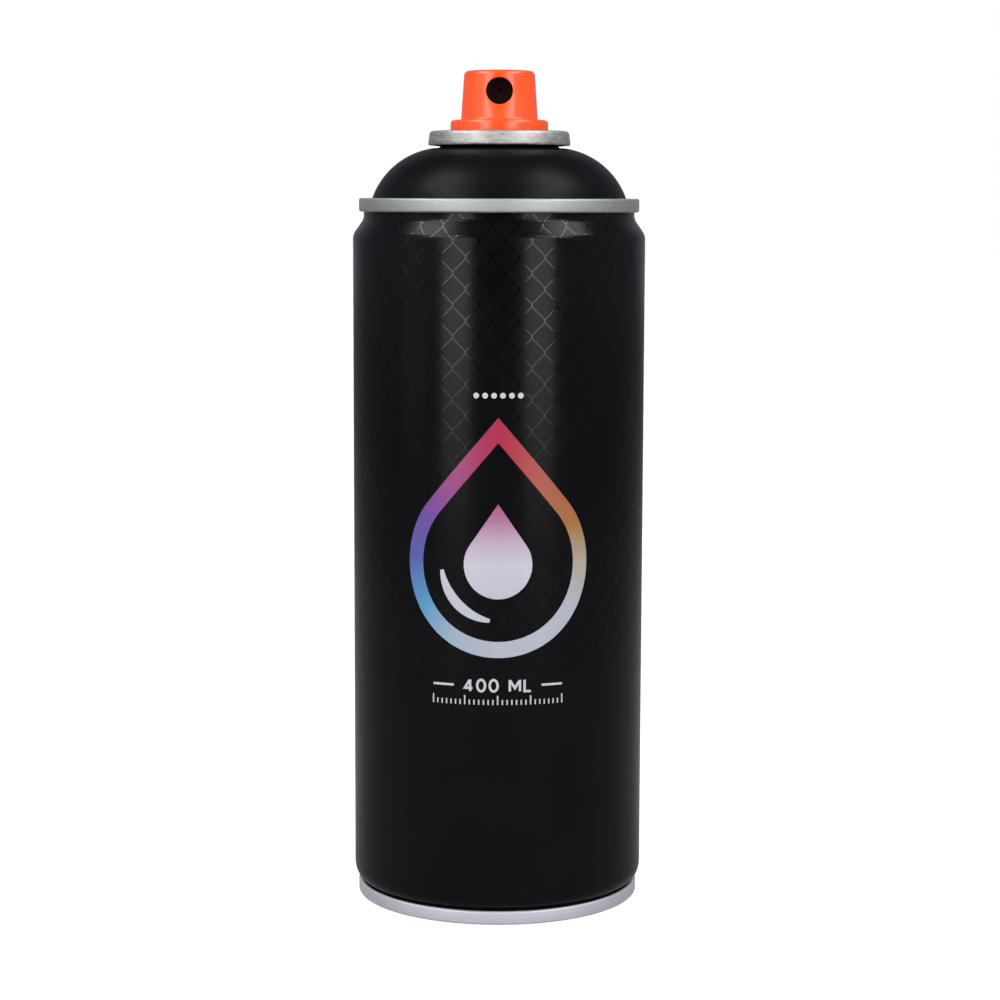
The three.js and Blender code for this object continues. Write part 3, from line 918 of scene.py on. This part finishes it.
def matt_black():
    """The dome's flat, slightly grainy coating."""
    look = Look("matt_black_coating", specular=0.062)
    grain = look.clouds(2600, 4)
    cloud = look.clouds(90)
    look.colour(look.mixed(look.spread(cloud, 0, 1), grey(0.002, BLUE_BLACK), grey(0.0032, BLUE_BLACK)))
    look.gloss(look.spread(grain, 0.33, 0.41))
    look.bump(grain, 0.012)
    return look.material


def brushed_metal(name, tint, level, contrast, roughness, grain_mm, metallic=1.0):
    """Rolled tinplate: long grain round the piece with short streaks in it, and soft stains."""
    look = Look(name, metallic=metallic)
    grain = look.round_grain(30, 6, (1.2, 1.2, 90))
    streaks = look.round_grain(30, 4, (22, 22, 120))
    cloud = look.clouds(140)
    lines = look.math("MULTIPLY_ADD", streaks, 0.5, look.math("MULTIPLY", grain, 0.25))
    tone = look.spread(look.math("MULTIPLY_ADD", cloud, 0.25, lines), 0, 1)
    dark = grey(level * (1 - contrast), tint)
    light = grey(level * (1 + contrast), tint)
    look.colour(look.mixed(tone, dark, light))
    look.gloss(look.spread(streaks, *roughness))
    look.bump(look.math("ADD", grain, look.math("MULTIPLY", streaks, 0.5)), grain_mm)
    return look.material


def moulded_plastic(name, dark, light, roughness, specular=0.5, translucence=0.0):
    """Injection-moulded plastic: flow clouds and a very fine texture."""
    look = Look(name, specular=specular)
    look.colour(look.mixed(look.spread(look.clouds(220), 0, 1), dark, light))
    look.gloss(look.spread(look.clouds(700, 4), *roughness))
    look.bump(look.clouds(1800), 0.0015)
    look.shader.inputs["Subsurface Weight"].default_value = translucence
    look.shader.inputs["Subsurface Scale"].default_value = 0.8 * MM
    return look.material


HUE_CENTRE = EMBLEM_MIDDLE + 4  # the height that the emblem's hues turn about
HUES = (  # share of the turn from the tip, down the left side and up the right, and the colour there
    (0.0, (0.3, 0.016, 0.05, 1)),
    (0.1, (0.21, 0.028, 0.14, 1)),
    (0.2, (0.1, 0.05, 0.25, 1)),
    (0.28, (0.065, 0.08, 0.28, 1)),
    (0.36, (0.06, 0.23, 0.4, 1)),
    (0.43, (0.24, 0.31, 0.39, 1)),
    (0.5, (0.345, 0.35, 0.42, 1)),
    (0.64, (0.33, 0.34, 0.4, 1)),
    (0.71, (0.32, 0.28, 0.23, 1)),
    (0.79, (0.27, 0.12, 0.03, 1)),
    (0.87, (0.28, 0.07, 0.026, 1)),
    (0.94, (0.3, 0.035, 0.035, 1)),
    (1.0, (0.3, 0.016, 0.05, 1)),
)


def rainbow_print():
    """The emblem's ink: hues that turn round its middle, fading to pale lilac at the foot."""
    look = Look("rainbow_print", roughness=0.35, specular=0.4)
    split = look.parts(look.place)
    rise = look.math("SUBTRACT", split["Z"], HUE_CENTRE * MM)
    turn = look.math("ARCTAN2", split["X"], look.math("MULTIPLY", rise, -1.0))
    look.colour(look.ramped(look.spread(turn, 0, 1, -math.pi, math.pi), HUES))
    return look.material


CORE_FADE = (  # share of the core's height, and the colour there
    (0.0, (0.38, 0.39, 0.45, 1)),
    (0.35, (0.43, 0.41, 0.47, 1)),
    (0.6, (0.38, 0.29, 0.38, 1)),
    (0.82, (0.32, 0.13, 0.24, 1)),
    (1.0, (0.3, 0.06, 0.16, 1)),
)


def pale_gradient():
    """The core's ink: violet pink at the tip, fading to pale lilac by its middle."""
    look = Look("pale_gradient", roughness=0.35, specular=0.4)
    height = look.parts(look.place)["Z"]
    look.colour(look.ramped(look.spread(height, 0, 1, CORE_FOOT * MM, CORE_TIP * MM), CORE_FADE))
    return look.material


def print_ink():
    """The small print's pale, faintly lilac ink."""
    look = Look("pale_print", roughness=0.4, specular=0.3)
    lilac = (1, 0.99, 1.05)
    look.colour(look.mixed(look.clouds(500), grey(0.4, lilac), grey(0.46, lilac)))
    return look.material


COOL = (1.0, 1.0, 1.03)
WARM = (1.0, 0.99, 0.95)


def cup_metal():
    """The mounting cup's bright tinplate, with strong streaks."""
    return brushed_metal("bright_tinplate", WARM, 0.375, 0.5, (0.48, 0.62), grain_mm=0.02)


def seam_metal():
    """The dull bare tinplate of the top seam and the welded lap."""
    return brushed_metal("bare_tinplate", (0.96, 1.0, 0.95), 0.36, 0.12, (0.54, 0.64), grain_mm=0.003)


def foot_metal_painted_reflection():
    """The base end's tinplate, paler and more lilac than the seam's: painted reflection of the pale floor,
    and only partly metallic.
    """
    # the lilac tint and the raised level are painted reflection of the pale floor
    lilac = (0.97, 0.97, 1.06)
    return brushed_metal("foot_tinplate_painted_reflection", lilac, 0.55, 0.1, (0.58, 0.68), grain_mm=0.002, metallic=0.75)


def spring_metal():
    """Drawn spring wire."""
    return brushed_metal("spring_wire", COOL, 0.7, 0.1, (0.15, 0.25), grain_mm=0.002)


def ball_metal():
    """The agitator balls' polished steel."""
    return brushed_metal("ball_steel", COOL, 0.7, 0.1, (0.12, 0.2), grain_mm=0.001)


def orange_plastic():
    """The actuator's bright orange."""
    deep = (0.75, 0.06, 0.005, 1)
    bright = (0.78, 0.07, 0.008, 1)
    return moulded_plastic("orange_moulding", deep, bright, (0.28, 0.32))


def black_plastic():
    """The nozzle insert's dark plastic."""
    deep = (0.005, 0.002, 0.0018, 1)
    bright = (0.007, 0.003, 0.0027, 1)
    return moulded_plastic("black_moulding", deep, bright, (0.5, 0.65), specular=0.012)


def natural_plastic():
    """The valve's undyed plastic."""
    deep = grey(0.62, WARM)
    bright = grey(0.72, WARM)
    return moulded_plastic("natural_moulding", deep, bright, (0.35, 0.5), translucence=0.2)


def tube_plastic():
    """The dip tube's milky polythene."""
    deep = grey(0.66, COOL)
    bright = grey(0.74, COOL)
    return moulded_plastic("tube_polythene", deep, bright, (0.3, 0.42), translucence=0.3)


def nitrile_rubber():
    """The gaskets' black rubber."""
    return moulded_plastic("nitrile_rubber", grey(0.012), grey(0.02), (0.6, 0.8), specular=0.3)


def seam_lining():
    """The sealing compound in the seams."""
    return moulded_plastic("seam_lining", grey(0.25, WARM), grey(0.32, WARM), (0.6, 0.8), specular=0.3)


def paint_pieces(pieces):
    """Gives each piece its material. The table also lists each piece's slot in the record, which is not
    used here.
    """
    dull = seam_metal()
    ink = print_ink()
    looks = {
        "can_wall": (satin_black(), "body_paint"),
        "wire_mesh_varnish": (gloss_varnish(), "body_paint"),
        "emblem_drop": (rainbow_print(), "body_paint"),
        "emblem_core": (pale_gradient(), "body_paint"),
        "small_print": (ink, "body_paint"),
        "contents_text": (ink, "body_paint"),
        "side_seam_strip": (dull, "tinplate"),
        "side_seam_weld": (dull, "tinplate"),
        "top_seam_ring": (dull, "tinplate"),
        "dome_shell": (matt_black(), "dome_paint"),
        "base_shell": (foot_metal_painted_reflection(), "tinplate"),
        "valve_cup": (cup_metal(), "cup_plate"),
        "actuator_cap": (orange_plastic(), "actuator_plastic"),
        "nozzle_plug": (black_plastic(), "insert_plastic"),
        "spring_coil": (spring_metal(), "spring_steel"),
    }
    for piece in pieces:
        look, slot = looks[piece.name]
        piece.data.materials.append(look)


def paint_kept_nodes():
    """Gives each CAD node that no piece replaces its material."""
    natural = natural_plastic()
    rubber = nitrile_rubber()
    lining = seam_lining()
    steel = ball_metal()
    looks = {
        "base_seam_compound": lining,
        "top_seam_compound": lining,
        "cup_gasket": rubber,
        "stem_gasket": rubber,
        "valve_housing": natural,
        "valve_seat": natural,
        "dip_tube": tube_plastic(),
        "agitator_ball_1": steel,
        "agitator_ball_2": steel,
    }
    for name, look in looks.items():
        for material_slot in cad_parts[name].material_slots:
            material_slot.material = look


# ---------------------------------------------------------------- studio


def stage_floor():
    """A pale, seamless floor that is close to paper white from the camera."""
    half_size = 3.0
    gap_under_can = 0.0002
    bm = bmesh.new()
    bmesh.ops.create_grid(bm, x_segments=1, y_segments=1, size=half_size)
    floor = from_bmesh("studio_floor", bm)
    floor.location.z = -gap_under_can
    look = Look("studio_floor", roughness=0.9, specular=0.1)
    look.colour(look.mixed(look.clouds(3), grey(0.3), grey(0.31)))
    distance = look.vector_math("LENGTH", look.place)["Value"]
    glow = look.add("ShaderNodeEmission", {"Strength": look.spread(distance, 0.93, 1.0, 0.1, 0.5)})
    plain = look.shader.outputs["BSDF"]
    glowing = look.add("ShaderNodeAddShader", {0: plain, 1: glow.outputs["Emission"]})
    glow_off_camera = 0.1  # share of the glow that lights the can and shows in it
    path = look.add("ShaderNodeLightPath")
    share = look.math("MAXIMUM", path.outputs["Is Camera Ray"], glow_off_camera)
    seen = look.add("ShaderNodeMixShader", {0: share, 1: plain, 2: glowing.outputs["Shader"]})
    look.feed(look.tree.nodes["Material Output"].inputs["Surface"], seen.outputs["Shader"])
    floor.data.materials.append(look.material)


def soft_box(name, place, target, width, height, radiance):
    """A rectangular area light at a place, facing a target. Sizes are in metres."""
    light = bpy.data.lights.new(name, "AREA")
    light.shape = "RECTANGLE"
    light.size = width
    light.size_y = height
    light.energy = radiance * math.pi * width * height
    lamp = bpy.data.objects.new(name, light)
    lamp.location = place
    lamp.rotation_euler = (Vector(target) - Vector(place)).to_track_quat("-Z", "Y").to_euler()
    bpy.context.scene.collection.objects.link(lamp)


LAMP_DISTANCE = 0.62
STRIP_BEARINGS = (("left", -32.5), ("right", 31))  # degrees from straight in front
STRIP_WIDTH = 0.235
STRIP_PARTS = (  # name, foot, head and radiance
    ("strip", 0.085, 0.45, 6.3),
    ("strip_foot", 0.04, 0.085, 2.8),
)
SHOULDER_BOXES = (  # name, direction of the one on the right, width, height and radiance
    ("overhead", (0.57, -0.14, 0.81), 0.24, 0.32, 9),
    ("bridge", (0.6, -0.53, 0.6), 0.24, 0.22, 9),
)


def soft_boxes():
    """Two tall strips in front, with a dimmer foot each, and two boxes above each shoulder."""
    for side, bearing in STRIP_BEARINGS:
        x = LAMP_DISTANCE * math.sin(math.radians(bearing))
        y = -LAMP_DISTANCE * math.cos(math.radians(bearing))
        for part, foot, head, radiance in STRIP_PARTS:
            middle = (foot + head) / 2
            soft_box(f"{side}_{part}", (x, y, middle), (0, 0, middle), STRIP_WIDTH, head - foot, radiance)
    fill_place = (-0.75, -0.3, 0.35)
    soft_box("left_fill", fill_place, target=(0, 0, 0.1), width=0.35, height=0.7, radiance=0.35)
    shoulder = Vector((0, 0, 0.155))
    for side, sign in (("left", -1), ("right", 1)):
        for part, (x, y, z), width, height, radiance in SHOULDER_BOXES:
            place = shoulder + LAMP_DISTANCE * Vector((sign * x, y, z))
            soft_box(f"{side}_{part}", place, shoulder, width, height, radiance)


ROOM_TINT = (0.95, 1.0, 1.13)  # the room's light is a little cooler than the lamps
ROOM_TONES = (  # share of the way from the camera's side to the far side, and the brightness there
    (0.0, 0.008),
    (0.12, 0.05),
    (0.24, 0.5),
    (0.36, 0.55),
    (0.5, 0.5),
    (0.63, 0.36),
    (0.8, 0.24),
    (0.92, 0.3),
)
CEILING_TONE = 0.06


def studio_world():
    """A pale room that is dark in front of the can, and white where the camera looks past it."""
    world = bpy.data.worlds.new("studio_world")
    world.use_nodes = True
    bpy.context.scene.world = world
    nodes = Nodes(world.node_tree)
    split = nodes.parts(nodes.add("ShaderNodeTexCoord").outputs["Generated"])
    stops = [(position, grey(tone, ROOM_TINT)) for position, tone in ROOM_TONES]
    tones = nodes.ramped(nodes.spread(split["Y"], 0, 1, -1, 1), stops)
    ceiling = nodes.spread(split["Z"], 1.0, CEILING_TONE, 0.3, 0.8)
    room = nodes.vector_math("MULTIPLY", tones, ceiling)["Vector"]
    past_the_can = nodes.add("ShaderNodeLightPath").outputs["Is Camera Ray"]
    seen = nodes.vector_math("MAXIMUM", room, past_the_can)["Vector"]
    nodes.feed(nodes.tree.nodes["Background"].inputs["Color"], seen)


def camera():
    """A camera in front of the can and a little above it, looking down as the photograph does."""
    lens = bpy.data.cameras.new("camera")
    lens.lens = 90.9
    lens.clip_start = 0.01
    place = (0.00038, -0.56663, 0.15792)
    downwards = 6.885  # degrees
    roll = 0.003  # radians
    tilted = Matrix.Rotation(math.radians(90 - downwards), 4, "X") @ Matrix.Rotation(roll, 4, "Z")
    body = bpy.data.objects.new("camera", lens)
    body.matrix_world = Matrix.Translation(place) @ tilted
    bpy.context.scene.collection.objects.link(body)
    bpy.context.scene.camera = body


# ---------------------------------------------------------------- the scene

bpy.context.scene.view_settings.view_transform = "Standard"
camera()
soft_boxes()
studio_world()
stage_floor()
shell_pieces = sheet_metal()
printing = [wire_mesh(), emblem(), emblem_core(), small_print(), contents_text(), *side_seam()]
for printed in printing:
    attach(printed, "can")
working = [actuator_button(), nozzle_insert(), valve_spring()]
paint_pieces([*shell_pieces, *printing, *working])
paint_kept_nodes()
